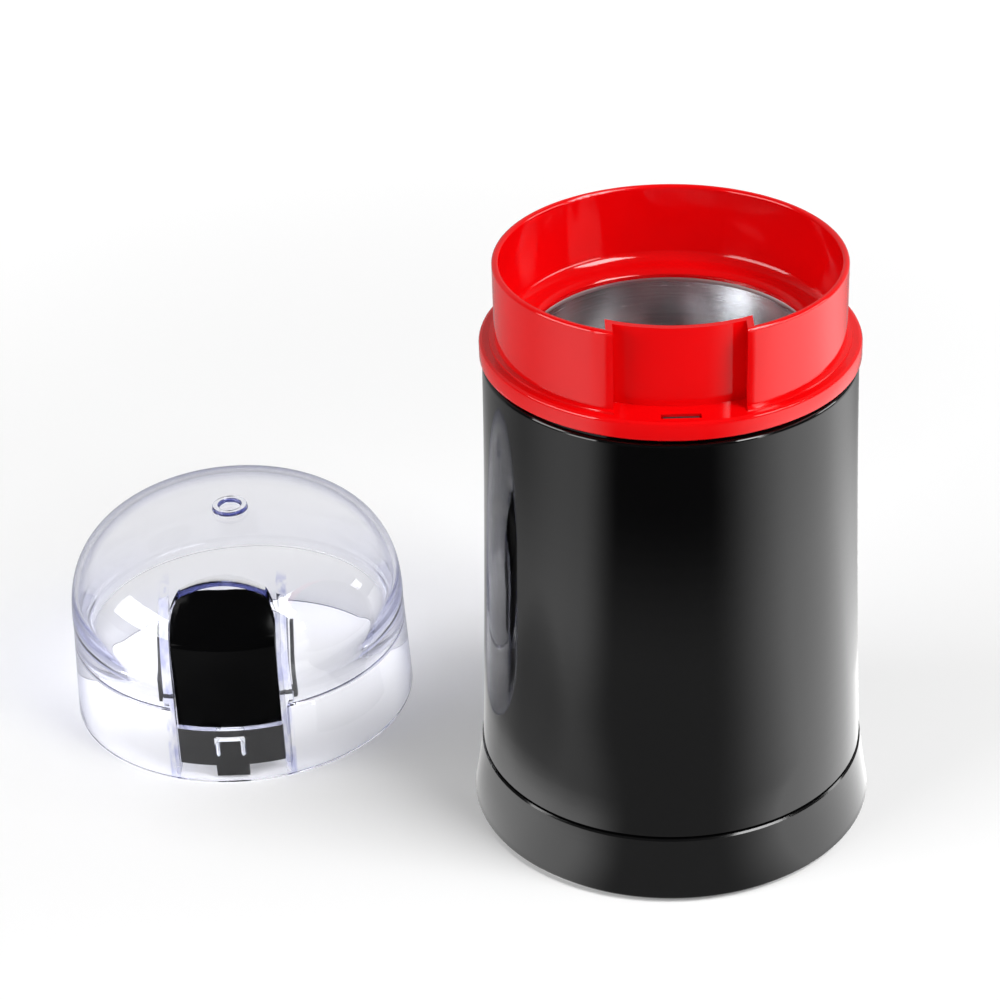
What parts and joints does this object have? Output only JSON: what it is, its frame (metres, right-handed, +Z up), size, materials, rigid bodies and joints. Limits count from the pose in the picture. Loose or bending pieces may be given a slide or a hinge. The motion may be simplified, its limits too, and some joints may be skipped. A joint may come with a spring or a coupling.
{
  "type": "electric spice grinder",
  "caption": "Upright electric spice grinder with a flared black body, red cup collar, steel bowl and blade, and a clear domed lid with a press button standing beside it.",
  "frame": {"origin": "centre of the base, on the table plane that the rubber foot ring stands on", "axes": "+Z up along the motor shaft, -Y towards the front with the switch slot, +X to the right as the front is looked at; the lid stands on the table at -X, +Y"},
  "size_m": [0.2177, 0.1517, 0.1557],
  "materials": {
    "black_gloss": "gloss",
    "black_matte": "satin",
    "red_gloss": "gloss",
    "rubber_black": "matte",
    "silicone": "matte",
    "grey_plastic": "matte",
    "ivory_plastic": "satin",
    "bowl_steel": "polished",
    "shaft_steel": "ground",
    "zinc_steel": "zinc plated",
    "lamination_steel": "stacked sheet",
    "copper": "enamelled wire",
    "bronze": "sintered",
    "carbon": "matte",
    "clear_plastic": "clear moulded"
  },
  "bodies": {
    "housing": {"housing_shell": "black_gloss", "base_ring": "black_gloss", "bottom_cover": "black_matte", "foot_ring": "rubber_black", "base_screws": "zinc_steel", "cord_gland": "rubber_black", "terminal_block": "ivory_plastic", "cup_collar": "red_gloss", "bowl_seal": "silicone", "grinding_bowl": "bowl_steel", "shaft_seal": "rubber_black", "motor_carrier": "grey_plastic", "collar_screws": "zinc_steel", "stator_core": "lamination_steel", "field_coils": "copper", "lower_bracket": "grey_plastic", "motor_screws": "zinc_steel", "upper_bearing": "bronze", "lower_bearing": "bronze", "brush_holders": "bronze", "carbon_brushes": "carbon", "brush_springs": "zinc_steel", "brush_caps": "grey_plastic", "switch_bracket": "grey_plastic", "microswitch": "black_matte", "rod_spring": "zinc_steel"},
    "rotor": {"motor_shaft": "shaft_steel", "rotor_core": "lamination_steel", "rotor_windings": "copper", "commutator": "copper", "cooling_fan": "ivory_plastic", "blade_hub": "bowl_steel", "blade": "bowl_steel", "blade_nut": "shaft_steel"},
    "switch": {"switch_rod": "black_matte", "switch_plunger": "red_gloss"},
    "lid": {"lid_dome": "clear_plastic", "button_cover": "black_matte", "button_springs": "zinc_steel"},
    "button": {"lid_button": "black_gloss"}
  },
  "joints": [
    {"name": "blade_spin", "type": "hinge", "parent": "housing", "child": "rotor", "pos_m": [0, 0, 0.07], "axis": [0, 0, 1], "continuous": true},
    {"name": "switch_press", "type": "slide", "parent": "housing", "child": "switch", "axis": [0, 0, -1], "range_m": [0, 0.002], "stiffness_N_per_m": 300, "springref_m": -0.002, "deforming": ["rod_spring"]},
    {"name": "lid_lift", "type": "slide", "parent": "housing", "child": "lid", "axis": [0, 0, 1], "range_m": [0, 0.17]},
    {"name": "button_press", "type": "slide", "parent": "lid", "child": "button", "axis": [0, 0, -1], "range_m": [0, 0.0025], "stiffness_N_per_m": 600, "springref_m": -0.002, "deforming": ["button_springs"]}
  ]
}
